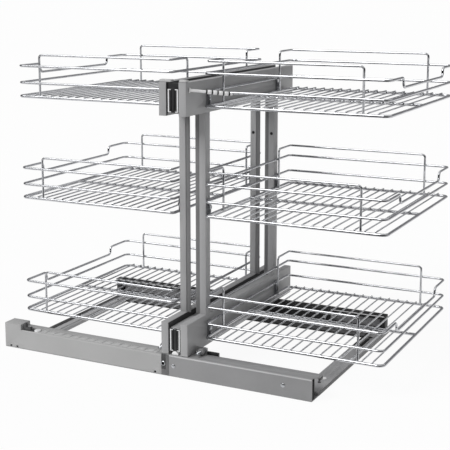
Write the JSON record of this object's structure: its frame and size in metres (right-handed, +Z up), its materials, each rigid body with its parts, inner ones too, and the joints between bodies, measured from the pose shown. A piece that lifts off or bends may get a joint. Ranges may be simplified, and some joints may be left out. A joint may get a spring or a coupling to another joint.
{
  "type": "blind corner pull out",
  "caption": "Cabinet corner organiser: a floor base with a side-sliding carriage that carries two wire-basket frames, each pulling forward on ball slides.",
  "frame": {"origin": "centre of the unit's box on the cabinet floor, with the carriage where the picture shows it", "axes": "+X along the base to the right seen from the front, +Y to the back of the cabinet, +Z up"},
  "size_m": [0.822, 0.508, 0.6202],
  "materials": {
    "steel": "grey powder coat",
    "grey_plastic": "moulded, fine grain",
    "black_steel": "black coat",
    "black_plastic": "moulded",
    "zinc": "zinc plated",
    "nylon": "natural nylon",
    "chrome": "bright chrome plate",
    "slide_steel": "zinc plated"
  },
  "bodies": {
    "base": {"front_rail": "steel", "front_cover": "grey_plastic", "left_side_rail": "steel", "right_side_rail": "steel", "cross_track": "black_steel", "track_end_stops": "black_plastic", "base_screws": "zinc", "catch_pin": "zinc"},
    "catch": {"catch_cradle": "black_plastic"},
    "carriage": {"carriage_beam": "steel", "front_foot": "steel", "rear_foot": "steel", "roller_axles": "zinc", "wheel_axles": "zinc", "top_link": "steel", "nose_caps": "black_plastic", "front_glide": "nylon", "left_low_slide_fixed": "slide_steel", "left_top_slide_fixed": "slide_steel", "right_low_slide_fixed": "slide_steel", "right_top_slide_fixed": "slide_steel"},
    "left_roller": {"left_front_roller": "nylon"},
    "right_roller": {"right_front_roller": "nylon"},
    "left_wheel": {"left_track_wheel": "nylon"},
    "right_wheel": {"right_track_wheel": "nylon"},
    "left_slide": {"left_low_slide_middle": "slide_steel", "left_low_slide_balls": "slide_steel", "left_top_slide_middle": "slide_steel", "left_top_slide_balls": "slide_steel"},
    "right_slide": {"right_low_slide_middle": "slide_steel", "right_low_slide_balls": "slide_steel", "right_top_slide_middle": "slide_steel", "right_top_slide_balls": "slide_steel"},
    "left_frame": {"left_low_bracket": "steel", "left_top_bracket": "steel", "left_front_post": "steel", "left_rear_post": "steel", "left_low_basket": "chrome", "left_middle_basket": "chrome", "left_top_basket": "chrome", "left_basket_screws": "zinc", "left_low_slide_moving": "slide_steel", "left_top_slide_moving": "slide_steel", "left_slide_buffers": "black_plastic", "left_slide_trims": "slide_steel"},
    "right_frame": {"right_low_bracket": "steel", "right_top_bracket": "steel", "right_front_post": "steel", "right_rear_post": "steel", "right_low_basket": "chrome", "right_middle_basket": "chrome", "right_top_basket": "chrome", "right_basket_screws": "zinc", "right_low_slide_moving": "slide_steel", "right_top_slide_moving": "slide_steel", "right_slide_buffers": "black_plastic", "right_slide_trims": "slide_steel"}
  },
  "joints": [
    {"name": "carriage_slide", "type": "slide", "parent": "base", "child": "carriage", "axis": [1, 0, 0], "range_m": [-0.322, 0.11]},
    {"name": "left_pull", "type": "slide", "parent": "carriage", "child": "left_frame", "axis": [0, -1, 0], "range_m": [0, 0.45]},
    {"name": "right_pull", "type": "slide", "parent": "carriage", "child": "right_frame", "axis": [0, -1, 0], "range_m": [0, 0.45]},
    {"name": "left_slide_half", "type": "slide", "parent": "carriage", "child": "left_slide", "axis": [0, -1, 0], "range_m": [0, 0.225]},
    {"name": "right_slide_half", "type": "slide", "parent": "carriage", "child": "right_slide", "axis": [0, -1, 0], "range_m": [0, 0.225]},
    {"name": "left_roller_spin", "type": "hinge", "parent": "carriage", "child": "left_roller", "pos_m": [-0.03415, -0.23, 0.0523], "axis": [0, 1, 0], "range_deg": [-2637, 902]},
    {"name": "right_roller_spin", "type": "hinge", "parent": "carriage", "child": "right_roller", "pos_m": [0.04995, -0.23, 0.0523], "axis": [0, 1, 0], "range_deg": [-2637, 902]},
    {"name": "left_wheel_spin", "type": "hinge", "parent": "carriage", "child": "left_wheel", "pos_m": [-0.05335, 0.186, 0.026], "axis": [0, 1, 0], "range_deg": [-1177, 403]},
    {"name": "right_wheel_spin", "type": "hinge", "parent": "carriage", "child": "right_wheel", "pos_m": [0.15325, 0.186, 0.026], "axis": [0, 1, 0], "range_deg": [-1177, 403]},
    {"name": "catch_tilt", "type": "hinge", "parent": "base", "child": "catch", "pos_m": [-0.34815, -0.24475, 0.036], "axis": [0, -1, 0], "range_deg": [0, 10], "stiffness_Nm_per_rad": 0.02, "springref_deg": -5.73}
  ],
  "couplings": [
    {"joint": "left_slide_half", "follows": "left_pull", "ratio": 0.5},
    {"joint": "right_slide_half", "follows": "right_pull", "ratio": 0.5},
    {"joint": "left_roller_spin", "follows": "carriage_slide", "rad_per_m": 142.86},
    {"joint": "right_roller_spin", "follows": "carriage_slide", "rad_per_m": 142.86},
    {"joint": "left_wheel_spin", "follows": "carriage_slide", "rad_per_m": 63.694},
    {"joint": "right_wheel_spin", "follows": "carriage_slide", "rad_per_m": 63.694}
  ]
}
